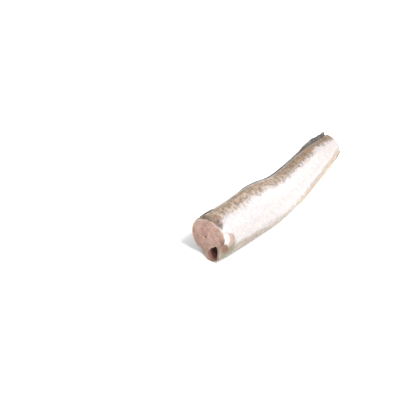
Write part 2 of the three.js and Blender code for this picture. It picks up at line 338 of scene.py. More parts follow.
class Value:
    """A socket that takes part in arithmetic."""

    def __init__(self, finish, socket):
        self.finish, self.socket = finish, socket

    def maths(self, operation, *values):
        return self.finish.node("ShaderNodeMath", {"operation": operation}, values)

    def __add__(self, other):
        return self.maths("ADD", self, other)

    def __radd__(self, other):
        return self.maths("ADD", other, self)

    def __sub__(self, other):
        return self.maths("SUBTRACT", self, other)

    def __rsub__(self, other):
        return self.maths("SUBTRACT", other, self)

    def __mul__(self, other):
        return self.maths("MULTIPLY", self, other)

    def __truediv__(self, other):
        return self.maths("DIVIDE", self, other)

    def sine(self):
        return self.maths("SINE", self)

    def larger(self, other):
        return self.maths("MAXIMUM", self, other)

    def ramp(self, low, high, start=0.0, end=1.0):
        """Rises smoothly from start to end while the value goes from low to high."""
        return self.finish.node(
            "ShaderNodeMapRange", {"interpolation_type": "SMOOTHSTEP"}, (self, low, high, start, end))


class Finish:
    """One material with one surface shader."""

    def __init__(self, name, **constants):
        self.material = bpy.data.materials.new(name)
        self.material.use_nodes = True
        self.tree = self.material.node_tree
        self.shader = self.tree.nodes["Principled BSDF"]
        for key, value in constants.items():
            self.shader.inputs[key.replace("_", " ")].default_value = value

    def node(self, kind, settings=None, inputs=(), output=0):
        """Makes a node: its settings, then its sockets by order or by name."""
        made = self.tree.nodes.new(kind)
        for key, value in (settings or {}).items():
            setattr(made, key, value)
        pairs = inputs.items() if isinstance(inputs, dict) else enumerate(inputs)
        for key, value in pairs:
            self.feed(made.inputs[key], value)
        return Value(self, made.outputs[output])

    def feed(self, socket, value):
        if isinstance(value, Value):
            self.tree.links.new(value.socket, socket)
        else:
            socket.default_value = value

    def drive(self, name, value):
        self.feed(self.shader.inputs[name], value)

    def mark(self, name):
        """The three numbers that the mesh carries under a name."""
        vector = self.node("ShaderNodeAttribute", {"attribute_name": name}, output=1)
        return [self.node("ShaderNodeSeparateXYZ", None, (vector,), k) for k in range(3)]

    def place(self, x, y, z=0.0):
        return self.node("ShaderNodeCombineXYZ", None, (x, y, z))

    def noise(self, place, size, detail=2.0, rough=0.5):
        """Noise from 0 to 1 with lumps of a size in the place's own unit."""
        return self.node("ShaderNodeTexNoise", None, {
            "Vector": place, "Scale": 1 / size, "Detail": detail, "Roughness": rough})

    def cells(self, place, size, random, output="Distance"):
        return self.node("ShaderNodeTexVoronoi", None, {
            "Vector": place, "Scale": 1 / size, "Randomness": random}, output)

    def blend(self, share, first, second):
        return self.node("ShaderNodeMix", {"data_type": "RGBA"}, {0: share, 6: first, 7: second}, 2)

    def where(self):
        return self.node("ShaderNodeTexCoord", None, (), "Object")

    def bump(self, height, distance):
        """Raises the surface by a height in units of the distance, in metres."""
        self.drive("Normal", self.node("ShaderNodeBump", None, {
            "Strength": 1.0, "Distance": distance, "Height": height}))


DIAGONAL = 0.7071
SCALE_SIZE = 1.9


def skin_finish():
    """Wet skin: grey-brown back, silvery white flank, cream belly with painted shade underneath, bare
    flesh in the scars, painted shade in the folds.
    """
    f = Finish("hake_skin", Subsurface_Weight=0.15, Subsurface_Scale=0.002, IOR=1.42,
               Coat_Roughness=0.14, Coat_IOR=1.36)
    f.shader.inputs["Subsurface Radius"].default_value = (1.0, 0.92, 0.88)
    x, arc, thin = f.mark("flat")
    back, low, rim = f.mark("tone_and_painted_light")
    scar, crescent, meat_and_shade = f.mark("scar")
    blotch, nape_end_shade, groove = f.mark("stain_and_shade")
    flat = f.place(x, arc)
    slanted = f.place((x + arc) * DIAGONAL, (x - arc * 1.15) * DIAGONAL)
    spine = (1 - (arc * arc) / 60).larger(0)
    scale_edge = f.cells(slanted, SCALE_SIZE, 0.35)
    scale_kind = f.cells(slanted, SCALE_SIZE, 0.35, "Color")
    kind = f.node("ShaderNodeSeparateColor", None, (scale_kind,), 0)
    kind_two = f.node("ShaderNodeSeparateColor", None, (scale_kind,), 1)
    broad = f.noise(flat, 17, 2)
    middling = f.noise(flat, 5.5, 3, 0.6)
    fine = f.noise(flat, 1.1, 2, 0.6)
    streak = f.noise(f.place(x * 2.6, arc * 0.32), 3.2, 3, 0.6)

    # Silvery flank, creamier towards the belly, with painted shade on the underside.
    flank = f.blend(broad.ramp(0.35, 0.65), tint(233, 234, 239), tint(237, 235, 237))
    flank = f.blend(streak.ramp(0.45, 0.8) * 0.4, flank, tint(216, 212, 218))
    flank = f.blend(x.ramp(150, 250) * 0.5, flank, tint(222, 216, 216))
    # Painted shade: low darkens the flank to a warm grey towards the underside.
    flank = f.blend((low + (middling - 0.5) * 0.5).ramp(0.3, 1.0) * 0.9, flank, tint(160, 152, 130))

    # Brown back, darker towards the tail, which ends scale by scale.
    darker = x.ramp(105, 168)
    brown = f.blend(middling.ramp(0.35, 0.68), tint(186, 170, 151), tint(146, 126, 102))
    brown = f.blend(broad.ramp(0.5, 0.75) * 0.5, brown, tint(174, 147, 112))
    brown = f.blend(darker * 0.85, brown, tint(108, 90, 60))
    brown = f.blend(spine * (0.2 + darker * 0.55), brown, tint(104, 90, 74))
    brown = f.blend(fine.ramp(0.52, 0.78) * 0.5, brown, tint(112, 96, 80))
    edging = back * (1 - back) * 4
    cover = (back + ((kind - 0.5) * 0.4 + (middling - 0.5) * 0.5) * edging).ramp(0.12, 0.85)
    colour = f.blend(cover, flank, brown)
    colour = f.blend(scale_edge.ramp(0.42, 0.75) * cover * 0.5, colour, tint(108, 92, 76))
    glint = (kind_two + edging * 0.28 - 0.82).ramp(0, 0.18) * (1 - scale_edge.ramp(0.3, 0.6))
    colour = f.blend(glint * cover * (0.85 - darker * 0.45), colour, tint(232, 224, 212))

    # Stains, painted shade in the folds, at the nape and where the cut meets the left flap, the flap's
    # thin skin and the scars.
    colour = f.blend((blotch + (fine - 0.5) * 0.5).ramp(0.35, 0.75) * 0.8, colour, tint(150, 116, 82))
    # Painted shade: a purplish-brown shadow where the nape ends on the flank.
    colour = f.blend((nape_end_shade + (middling - 0.5) * 0.8).ramp(0.15, 1.0) * 0.75, colour,
                     tint(140, 108, 106))
    # Painted shade in the nape's slope and groove, the scars' step and the folds, with pale streaks
    # across it.
    colour = f.blend(groove * (0.35 + fine * 0.9), colour,
                     f.blend(middling.ramp(0.35, 0.6), tint(132, 106, 86), tint(84, 66, 56)))
    colour = f.blend(groove * streak.ramp(0.55, 0.7) * 0.6, colour, tint(204, 188, 170))
    colour = f.blend(thin * 0.9, colour, f.blend(fine.ramp(0.3, 0.7), tint(134, 129, 106),
                                                 tint(110, 105, 86)))
    bare = f.blend(fine.ramp(0.3, 0.7), tint(216, 212, 208), tint(186, 172, 164))
    colour = f.blend(scar, colour, bare)
    colour = f.blend(crescent, colour, f.blend(fine.ramp(0.3, 0.8), tint(186, 162, 150),
                                               tint(150, 120, 108)))
    # Painted shade on the scars' step.
    colour = f.blend((groove - 0.35).ramp(0, 0.5) * scar, colour, tint(126, 100, 88))
    # Painted shade: a brown patch on the skin where the cut meets the left flap.
    colour = f.blend((meat_and_shade + (fine - 0.5) * 0.4).ramp(0.3, 0.75), colour,
                     f.blend(fine.ramp(0.3, 0.7), tint(140, 108, 88), tint(110, 82, 68)))
    # The skin's pale cut edges, and a painted highlight on the lip outside each scar.
    colour = f.blend(rim * (0.55 - thin * 0.4) * (0.5 + middling), colour, tint(226, 214, 202))
    f.drive("Base Color", colour)
    f.drive("Roughness", 0.36 + (kind - 0.5) * 0.16 + (fine - 0.5) * 0.12 + cover * 0.05)
    f.drive("Coat Weight", 0.35 + (middling - 0.5) * 0.4)
    relief = (1 - scale_edge.ramp(0.1, 0.8)) * 0.55 * (0.35 + cover * 0.65) + kind * 0.25 * cover
    f.bump(relief * (1 - scar) + fine * (0.35 + scar * 0.5) + streak * 0.5 + middling * scar, 0.0002)
    return f.material


def flesh_finish():
    """Raw cut flesh with its curved muscle bands, a pale skin line round it and a blood spot."""
    f = Finish("hake_flesh", Subsurface_Weight=0.35, Subsurface_Scale=0.004, IOR=1.4,
               Coat_Roughness=0.1, Coat_IOR=1.35)
    f.shader.inputs["Subsurface Radius"].default_value = (1.0, 0.45, 0.3)
    up, out, edge = f.mark("cut")
    band, blood, shade = f.mark("meat_and_shade")
    place = f.place(up, out)
    broad = f.noise(place, 9, 2)
    fine = f.noise(place, 1.3, 3, 0.65)
    fibre = f.noise(f.place(band * 0.4, up * 2.2, out * 2.2), 1.6, 2)
    patches = f.noise(f.place(up + 40, out), 4.0, 3, 0.6)
    wave = ((band + (broad - 0.5) * 7.0 + (patches - 0.5) * 2.5) * 1.35).sine()
    flap = (0 - up).ramp(12.5, 16) * out.ramp(1, 4)
    colour = f.blend(broad.ramp(0.38, 0.62), tint(210, 170, 156), tint(194, 160, 140))
    colour = f.blend(patches.ramp(0.42, 0.66) * 0.75, colour, tint(164, 120, 102))
    colour = f.blend(fine.ramp(0.45, 0.75) * 0.5, colour, tint(150, 108, 92))
    colour = f.blend(fibre.ramp(0.45, 0.75) * 0.5, colour, tint(222, 192, 178))
    colour = f.blend(wave.ramp(0.55, 1.0) * patches.ramp(0.3, 0.6) * 0.3, colour, tint(218, 190, 178))
    colour = f.blend(flap, colour, f.blend(fine.ramp(0.3, 0.7), tint(156, 146, 122),
                                           tint(186, 172, 152)))
    colour = f.blend(shade, colour, f.blend(flap, tint(134, 98, 79), tint(128, 103, 96)))
    colour = f.blend((blood + (fine - 0.5) * 0.5).ramp(0.3, 0.8), colour, tint(116, 46, 42))
    skin_line = (edge + (fine - 0.5) * 0.7).ramp(0.35, 1.1, 1, 0) * (0.6 - flap * 0.4)
    colour = f.blend(skin_line, colour, tint(226, 214, 200))
    f.drive("Base Color", colour)
    f.drive("Roughness", 0.34 + (fine - 0.5) * 0.2)
    f.drive("Coat Weight", 0.4 + (broad - 0.5) * 0.4)
    f.bump(fine * 0.7 + fibre * 0.4 + wave * 0.35, 0.00022)
    return f.material


def lining_finish():
    """The belly's dark wet lining, browner and bloody along the roof, pale near the cut edges."""
    f = Finish("belly_lining", IOR=1.42, Coat_Roughness=0.08, Coat_IOR=1.36,
               Subsurface_Weight=0.1, Subsurface_Scale=0.002)
    _, _, edge = f.mark("cut")
    roof, _, flap = f.mark("inside")
    place = f.where()
    broad = f.noise(place, 0.008, 3, 0.6)
    fine = f.noise(place, 0.0016, 3, 0.6)
    colour = f.blend(broad.ramp(0.35, 0.65), tint(134, 94, 86), tint(108, 76, 74))
    colour = f.blend(fine.ramp(0.5, 0.8) * 0.4, colour, tint(62, 42, 46))
    colour = f.blend((roof + (broad - 0.5) * 0.8).ramp(0.4, 0.9) * 0.8, colour, tint(96, 40, 36))
    colour = f.blend((edge + (fine - 0.5) * 2.0).ramp(0.5, 5.0, 1, 0) * 0.8, colour,
                     tint(150, 108, 96))
    # Painted light: the left flap's inner side near the mouth is lightened.
    colour = f.blend(flap * 0.9, colour, tint(196, 166, 156))
    f.drive("Base Color", colour)
    f.drive("Roughness", 0.3 + (fine - 0.5) * 0.2)
    f.drive("Coat Weight", 0.55 + (broad - 0.5) * 0.4)
    f.bump(fine * 0.6 + broad, 0.0004)
    return f.material


def fin_finish(name, membrane, ray, tip):
    """Fin membrane between darker or paler rays."""
    f = Finish(name, IOR=1.4, Coat_Roughness=0.15, Subsurface_Weight=0.12, Subsurface_Scale=0.0015)
    phase, height, _ = f.mark("fin")
    place = f.where()
    fine = f.noise(place, 0.0012, 3, 0.6)
    broad = f.noise(place, 0.006, 2)
    colour = f.blend(broad.ramp(0.35, 0.65), membrane, ray)
    colour = f.blend(phase.ramp(0.45, 0.9), colour, ray)
    colour = f.blend((height + (fine - 0.5) * 0.4).ramp(0.55, 1.05) * 0.7, colour, tip)
    f.drive("Base Color", colour)
    f.drive("Roughness", 0.38 + (fine - 0.5) * 0.25)
    f.drive("Coat Weight", 0.3 + (broad - 0.5) * 0.3)
    f.bump(fine * 0.5 + phase * 0.6, 0.0002)
    return f.material


def bone_finish():
    """Rosy moist bone with a glassy pit in the middle of each joint face."""
    f = Finish("hake_bone", IOR=1.45, Coat_Roughness=0.12, Subsurface_Weight=0.25,
               Subsurface_Scale=0.002)
    radius, _, _ = f.mark("bone")
    place = f.where()
    fine = f.noise(place, 0.0009, 3, 0.6)
    rings = (radius * 26 + (fine - 0.5) * 2).sine()
    colour = f.blend(radius.ramp(0.1, 0.8), tint(176, 108, 96), tint(196, 150, 136))
    colour = f.blend(rings.ramp(0.3, 1.0) * 0.25, colour, tint(210, 176, 162))
    colour = f.blend(fine.ramp(0.5, 0.8) * 0.4, colour, tint(168, 116, 102))
    f.drive("Base Color", colour)
    f.drive("Roughness", 0.4 + (fine - 0.5) * 0.2)
    f.drive("Coat Weight", 0.35 + (fine - 0.5) * 0.2)
    f.bump(fine * 0.6 + rings * 0.3, 0.00015)
    return f.material


def table_finish():
    """A smooth pale table top."""
    f = Finish("pale_table", IOR=1.45)
    place = f.where()
    cloudy = f.noise(place, 0.35, 3, 0.55)
    grain = f.noise(place, 0.004, 2)
    f.drive("Base Color", f.blend(cloudy.ramp(0.3, 0.7), tint(244, 243, 241), tint(240, 239, 237)))
    f.drive("Roughness", 0.6 + (grain - 0.5) * 0.08)
    f.bump(grain, 0.00003)
    return f.material


SKIN = skin_finish()
FLESH = flesh_finish()
LINING = lining_finish()
DARK_FIN = fin_finish("dark_fin", tint(92, 86, 80), tint(62, 57, 54), tint(48, 44, 44))
PALE_FIN = fin_finish("pale_fin", tint(192, 172, 150), tint(164, 142, 122), tint(168, 156, 134))
BONE = bone_finish()


# ---- The trunk -----------------------------------------------------------------------------

ROUND, LINING_ROUND = 181, 91
FINELY_ROUND = np.linspace(-math.pi, math.pi, 721)
STEPS = np.r_[np.arange(0, 24, 0.5), np.linspace(24, LENGTH, 262)]
OPEN_STEPS = np.flatnonzero(STEPS <= CAVITY_END)

# Creases of the belly wall: start, end, distance from the back, slope and depth.
CREASES = ((34, 66, 62.5, 0.2, 0.55), (44, 74, 58.5, 0.24, 0.35),
           (52, 92, 67.5, 0.12, 0.4), (20, 40, 66.0, -0.1, 0.3))

# Brown blotches: place and half length along the fish, the same round it, and strength.
BLOTCHES = ((9.5, 4.5, 19, 7, 1.0), (205, 16, 9, 7, 0.9), (180, 9, 14, 4, 0.8))

# Darker patches of the head cut: up, out, half width and strength.
HEAD_SHADES = ((8, -13, 4.0, 0.6), (-4, -9, 5.0, 0.45), (17, 4, 3.5, 0.35), (-10.5, 15.5, 4.8, 0.95))

# How much the left flap fills the mouth of the cavity, how far its roof hangs, and how far in.
MOUTH_FILL, MOUTH_SAG, MOUTH_LENGTH = 0.38, 3.2, 14


def skin_lines():
    """The plain outline at every station: up, out, angle, distance from the back, outward normal."""
    rows = []
    for x in STEPS:
        up, out = outline(x, FINELY_ROUND)
        rows.append(resampled(trimmed(np.stack([up, out, FINELY_ROUND], 1), slit_half(x)), ROUND))
    rows = np.array(rows)
    up, out, angle = rows[..., 0], rows[..., 1], rows[..., 2]
    tangent_up, tangent_out = np.gradient(up, axis=1), np.gradient(out, axis=1)
    size = np.hypot(tangent_up, tangent_out)
    arc = np.cumsum(np.c_[np.zeros(len(rows)), np.hypot(np.diff(up, axis=1), np.diff(out, axis=1))],
                    axis=1)
    arc = arc - np.array([np.interp(0, a, s) for a, s in zip(angle, arc)])[:, None]
    return up, out, angle, arc, tangent_out / size, -tangent_up / size


class Skin:
    """The skin's points at every station, with its scars, its relief and its finish's marks."""

    def __init__(self):
        self.up, self.out, self.angle, self.arc, normal_up, normal_out = skin_lines()
        self.x = np.broadcast_to(STEPS[:, None], self.up.shape)
        self.degrees = np.degrees(self.angle)
        self.plain = np.stack([self.x, self.up, self.out], -1)
        self.find_scars()
        self.find_folds()
        relief = self.relief()
        self.up = self.up + normal_up * relief
        self.out = self.out + normal_out * relief

    def find_scars(self):
        """Where the paired fins came off: reach is above 0 inside a scar and largest in its middle."""
        x, arc, plain = self.x, self.arc, self.plain
        self.reach = np.zeros_like(x)
        for side in (1, -1):
            at = np.array([np.interp(side * SCAR_ANGLE, d, s)
                           for d, s in zip(self.degrees, arc)])[:, None]
            tall = (arc - at) / (SCAR_HEIGHT / 2)
            wavy = 1 + 0.1 * lumps(plain, 6)
            self.reach = np.maximum(
                self.reach, 1 - np.sqrt((x / (SCAR_LENGTH * wavy)) ** 2 + tall ** 2))
        self.inside_scar = smooth(0.0, 0.05, self.reach)
        self.behind_pad = smooth(6.4, 8.2, x + 0.6 * lumps(plain + 3, 4) + 0.02 * (arc - 51) ** 2)
        self.crescent = self.inside_scar * self.behind_pad * (1 - 0.5 * smooth(0, 11, arc - 52))

    def find_folds(self):
        """The lateral line, the belly's creases, the back's furrow and the slope at the nape."""
        x, arc, degrees, plain = self.x, self.arc, self.degrees, self.plain
        line_arc = 17.5 + 6 * smooth(30, 120, x) - 7.5 * smooth(150, LENGTH, x)
        self.lateral = hump(0, 0.75, np.abs(arc) - line_arc) * smooth(6, 20, x)
        self.creases = np.zeros_like(x)
        for start, end, where, slope, deep in CREASES:
            window = smooth(start, start + 9, x) * (1 - smooth(end - 12, end, x))
            self.creases = np.maximum(self.creases, deep * window * hump(
                0, 1.5, np.abs(arc) - where - slope * (x - start)))
        self.furrow = hump(0, 1.6, arc) * smooth(2, 8, x)
        self.nape = smooth(-12, 18, degrees) * (1 - smooth(66, 84, degrees))
        self.behind_nape = 6.2 + 1.6 * lumps(plain + 20, 8)
        self.groove = hump(0, 1.1, x - 1.7 - 0.5 * lumps(plain + 40, 5)) * self.nape

    def relief(self):
        """How far the skin stands out from its plain outline."""
        x, arc, degrees, plain = self.x, self.arc, self.degrees, self.plain
        relief = 0.38 * lumps(plain, 24) + 0.16 * lumps(plain + 50, 9)
        relief += 0.05 * lumps(plain + 90, 3.2)
        zigzag = 5.2 * np.abs(((arc / 19.0 + 0.3) % 1) * 2 - 1)
        relief += 0.045 * np.sin(2 * np.pi * (x + zigzag * 1.6) / 5.6) * smooth(20, 60, x)
        relief -= 0.06 * self.lateral
        relief -= self.creases
        relief -= 2.9 * (1 - smooth(0.2, self.behind_nape, x)) * self.nape
        relief -= 0.8 * self.groove
        relief += 0.5 * hump(0, 2.2, x - self.behind_nape - 1.0) * self.nape
        relief -= 0.35 * self.furrow
        relief -= 0.45 * np.exp(-(LENGTH - x) / 1.2)
        relief -= 0.3 * np.exp(-x / 0.6) * (1 - self.nape)
        relief += 0.5 * hump(2.5, 1.2, x) * smooth(-60, -20, degrees) * (1 - smooth(0, 25, degrees))

        # Each scar is a shallow bowl with a step at its hind edge.
        bowl = np.sqrt(np.clip(1 - (1 - self.reach) ** 2, 0, 1)) * (self.reach > 0)
        depth = 0.75 * self.inside_scar + (SCAR_DEPTH - 0.75) * bowl
        lip = hump(-0.05, 0.05, self.reach) * (self.reach < 0.02)
        left = smooth(-4, 4, degrees)
        relief = relief * (1 - self.inside_scar) - depth + 0.4 * lip
        relief += self.inside_scar * (
            0.12 * lumps(plain, 3.0) + 0.45 * (1 - self.behind_pad) * left)

        # Calmer beside the slit, so that its edges meet.
        from_slit = math.pi - np.abs(self.angle)
        return relief * np.where(from_slit < 0.5, smooth(0, 0.12, from_slit) * 0.7 + 0.3, 1)

    def marks(self):
        """The numbers that the skin's finish reads."""
        x, arc, degrees, plain, reach = self.x, self.arc, self.degrees, self.plain, self.reach
        stripe = np.where(degrees > 0, 22.5, 21.0) - 8.0 * smooth(100, LENGTH, x)
        stripe = stripe + 2.6 * lumps(plain + 7, 15)
        fade = 16.0 - 5.0 * smooth(100, LENGTH, x)
        back = np.clip(0.5 - (np.abs(arc) - stripe) / fade, 0, 1)
        girth = arc.max(axis=1, keepdims=True)
        # low: the belly's cream and painted shade, growing towards the underside and stronger near the
        # cut.
        low = smooth(0.62, 0.9, np.abs(arc) / girth) * (0.85 + 0.5 * (1 - smooth(20, 70, x)))
        # rim: the skin's pale cut edges, and a painted highlight on the lip just outside each scar.
        rim = np.maximum(np.exp(-x / 0.45), np.exp(-(LENGTH - x) / 0.4))
        rim = np.maximum(rim, hump(0, 0.05, reach + 0.06) * (reach < 0))
        blotch = np.zeros_like(x)
        for place, half_length, around, half_width, strength in BLOTCHES:
            blotch = np.maximum(
                blotch, strength * hump(place, half_length, x) * hump(around, half_width, arc))
        # Painted shade: a purplish-brown shadow where the nape ends on the flank.
        nape_end_shade = hump(5.5, 5, x) * hump(26, 7, arc)
        # Painted shade: a brown patch where the cut meets the left flap, fading out behind the cut.
        shaded_meat_end = 1 - smooth(6, 10, x + 0.6 * lumps(plain + 15, 4))
        meat_and_shade = 1.1 * hump(0, 5.2, arc - 56.5 - 0.6 * x) * shaded_meat_end
        thin = (1 - smooth(8, 20, x)) * smooth(112, 124, degrees)
        # Painted shade: the nape's slope and groove, the line just inside each scar's step, the belly's
        # creases, the back's furrow and the lateral line are darkened.
        slope = smooth(-12, 18, degrees) * (1 - smooth(50, 84, degrees))
        slope = slope * (0.75 + 0.5 * lumps(plain + 70, 3))
        slope = slope * (1 - smooth(0.45, 1.15, x / self.behind_nape))
        painted_fold_shade = np.clip(slope + self.groove * 0.6 + 0.8 * hump(0.015, 0.04, reach) * (reach > -0.03)
                        + self.lateral * 0.06 + self.creases * 0.3 + self.furrow * 0.3, 0, 1)
        return {
            "flat": np.stack([x, arc, thin], -1),
            "tone_and_painted_light": np.stack([back, low, rim], -1),
            "scar": np.stack([self.inside_scar, self.crescent, meat_and_shade], -1),
            "stain_and_shade": np.stack([blotch, nape_end_shade, painted_fold_shade], -1),
        }


def cavity_line(x):
    """The cavity's outline at a station, open at the slit: rows of up, out, angle."""
    middle, high, wide_left, wide_right = cavity_size(x)
    mouth = 1 - smooth(0, MOUTH_LENGTH, x)
    wide_left = wide_left * (1 - MOUTH_FILL * mouth)
    c, s = np.cos(FINELY_ROUND), np.sin(FINELY_ROUND)
    power = np.where(c > 0, 1, 2 / CAVITY_FULLNESS)
    up = middle + high * np.sign(c) * np.abs(c) ** power
    up = up - mouth * MOUTH_SAG * smooth(-12, -5, up)
    out = np.where(s > 0, wide_left, wide_right) * np.sign(s) * np.abs(s) ** power
    half = min(slit_half(x), wide_right * 0.2)
    return resampled(trimmed(np.stack([up, out, FINELY_ROUND], 1), half), LINING_ROUND)


def add_lining(made):
    """The cavity's lining and its blind end. Gives its outlines, up and out."""
    lines = np.array([cavity_line(x) for x in STEPS[OPEN_STEPS]])
    up, out, angle = lines[..., 0], lines[..., 1], lines[..., 2]
    x = np.broadcast_to(STEPS[OPEN_STEPS][:, None], up.shape)
    column = np.arange(LINING_ROUND)
    from_slit = np.minimum(column, LINING_ROUND - 1 - column)[None, :]
    shape = np.stack([x, up, out], -1)
    swell = 0.5 * lumps(shape + 31, 9) + 0.2 * lumps(shape + 60, 3)
    swell *= smooth(0, 6, from_slit)
    kidney = hump(0, 0.3, angle) * 1.3
    centre_up = up.mean(axis=1, keepdims=True)
    centre_out = out.mean(axis=1, keepdims=True)
    away = np.hypot(up - centre_up, out - centre_out) + 0.01
    fade_in = 1 - smooth(CAVITY_END - 30, CAVITY_END - 5, x)
    up = up + (up - centre_up) / away * (swell - kidney) * fade_in
    out = out + (out - centre_out) / away * swell * fade_in
    lining = placed(x, up, out)
    # Painted light: where the left flap's inner side near the mouth is lightened by the finish.
    flap = smooth(0.1, 0.7, np.sin(angle)) * (1 - smooth(3, 14, x))
    made.grid(lining, LINING, {
        "cut": np.stack([up, out, np.minimum(x * 0.6, from_slit * 0.7)], -1),
        "inside": np.stack([hump(0, 0.55, angle), x * 0, flap], -1)}, flip=True)
    end = lining[-1:]
    cap = np.concatenate([end, np.broadcast_to(end.mean(axis=1, keepdims=True), end.shape)], 0)
    made.grid(cap, LINING, {"cut": np.full(cap.shape, 9.0)}, flip=True)
    return up, out


def add_slit_edge(made, skin, inner_up, inner_out, column, bulge_side):
    """A cut edge of the slit, from a column of the skin to the same one of the lining."""
    share = np.linspace(0, 1, 6)[None, :]
    bulge = 0.35 * np.sin(np.pi * share) * bulge_side
    up = skin.up[OPEN_STEPS, column][:, None] * (1 - share) + inner_up[:, column][:, None] * share
    out = skin.out[OPEN_STEPS, column][:, None] * (1 - share) + inner_out[:, column][:, None] * share
    out = out + bulge * np.clip(slit_half(STEPS[OPEN_STEPS]), 0, 1)[:, None]
    x = np.broadcast_to(STEPS[OPEN_STEPS][:, None], up.shape)
    made.grid(placed(x, up, out), FLESH, {
        "cut": np.stack([up, out, np.broadcast_to(share * 3.5, up.shape)], -1),
        "meat_and_shade": np.stack([x, x * 0, 0.25 + 0.3 * share + x * 0], -1)}, flip=column == 0)


def cut_face(x, up, out, skin_distance, edge_distance):
    """A cut face's points: muscle bands, a seat for the bone, edges that curl in."""
    rise, shift, radius = bone_place(x)
    from_bone = np.hypot(up - rise, out - shift)
    place = np.stack([up, out, up * 0], -1)
    off = 0.45 * lumps(place + 5, 10) + 0.22 * lumps(place + 9, 3.4) + 0.08 * lumps(place, 1.2)
    off += 0.06 * np.sin(from_bone * 1.4 + 4 * lumps(place + 13, 8))
    off += 0.7 * smooth(0, 3, edge_distance) - 0.35
    off *= smooth(0, 0.8, skin_distance)
    off -= 0.25 * hump(0, 0.5, out - shift) * (up > rise)
    off -= (off + 0.9) * (1 - smooth(radius - 0.1, radius + 0.35, from_bone))
    points = placed(x, up, out)
    points[..., 0] += off if x > 0 else -off
    return points


def cut_marks(x, up, out, pale, spot, shade):
    """What the flesh's finish reads: the place, the pale skin line, muscle bands, blood and shade."""
    rise, shift, _ = bone_place(x)
    from_bone = np.hypot((up - rise) * 0.9, out - shift)
    seam = 2.0 * hump(0, 1.0, out - shift) * (up > rise) + 1.2 * hump(0, 1.2, up - rise)
    return {"cut": np.stack([up, out, pale], -1),
            "meat_and_shade": np.stack([from_bone + seam, spot, np.clip(shade, 0, 1)], -1)}


def add_head_cut(made, skin_up, skin_out, lining_up, lining_out):
    """Flesh between the skin and the cavity."""
    shares = np.r_[0, 0.012, 0.03, np.linspace(0.06, 1, 34)][:, None]
    wanted, have = np.linspace(0, 1, ROUND), np.linspace(0, 1, LINING_ROUND)
    inner_up, inner_out = np.interp(wanted, have, lining_up), np.interp(wanted, have, lining_out)
    up = skin_up[None] * (1 - shares) + inner_up[None] * shares
    out = skin_out[None] * (1 - shares) + inner_out[None] * shares
    rise, shift, _ = bone_place(0.0)
    from_skin = np.hypot(up - skin_up[None], out - skin_out[None])
    from_lining = np.hypot(up - inner_up[None], out - inner_out[None])
    spot = 0.85 * hump(0, 1.7, np.hypot(up - rise + 5.6, (out - shift) * 0.8))
    spot = np.maximum(spot, 0.45 * hump(0, 0.9, np.hypot(up - rise - 6.0, out - shift)))
    shade = 0.95 * (1 - smooth(1.8, 4.2, from_lining)) * smooth(8, 13, -up)
    shade = np.maximum(shade, 0.45 * smooth(6, 16, -out))
    shade = np.maximum(shade, 0.5 * smooth(6, 13, -up) * smooth(0, 6, -out))
    for patch_up, patch_out, width, strength in HEAD_SHADES:
        shade = np.maximum(
            shade, strength * hump(0, width, np.hypot(up - patch_up, out - patch_out)))
    pale = np.minimum(from_skin * np.where(out > 4, 1.0, 0.55),
                      np.where(up > -11, from_lining * 1.2, 9))
    pale = np.where((up < -13) & (out > 0), np.minimum(pale, from_skin * 0.8), pale)
    pale = np.minimum(pale, from_skin * (1 - 0.72 * hump(-1, 6.5, up) * (out > 0)))
    made.grid(cut_face(0.0, up, out, from_skin, np.minimum(from_skin, from_lining)), FLESH,
              cut_marks(0.0, up, out, pale, spot, shade))


def add_tail_cut(made, skin_up, skin_out):
    """Flesh round the backbone."""
    shares = np.r_[0, 0.03, 0.07, np.linspace(0.12, 1, 26)][:, None]
    rise, shift, _ = bone_place(LENGTH)
    turn = np.arctan2(skin_out - shift, skin_up - rise)
    up = skin_up[None] * (1 - shares) + (rise + 0.4 * np.cos(turn))[None] * shares
    out = skin_out[None] * (1 - shares) + (shift + 0.4 * np.sin(turn))[None] * shares
    from_skin = np.hypot(up - skin_up[None], out - skin_out[None])
    spot = hump(0, 1.1, np.hypot(up - rise + 4.0, out - shift))
    spot = np.maximum(spot, 0.5 * hump(0, 0.7, np.hypot(up - rise - 3.8, out - shift)))
    made.grid(cut_face(LENGTH, up, out, from_skin, from_skin), FLESH,
              cut_marks(LENGTH, up, out, from_skin, spot, 0.2 * spot), flip=True)


def build_trunk(centre):
    """Skin, the cavity's lining, the slit's edges and the two cut faces."""
    skin = Skin()
    made = Surface("hake_trunk_skin")
    weld = int(np.argmax(STEPS >= CAVITY_END + 1.0))
    made.grid(placed(skin.x, skin.up, skin.out), SKIN, skin.marks(), weld_from=weld)
    lining_up, lining_out = add_lining(made)
    add_slit_edge(made, skin, lining_up, lining_out, 0, 1)
    add_slit_edge(made, skin, lining_up, lining_out, -1, -1)
    add_head_cut(made, skin.up[0], skin.out[0], lining_up[0], lining_out[0])
    add_tail_cut(made, skin.up[-1], skin.out[-1])
    return made.build(centre)


# ---- The backbone --------------------------------------------------------------------------

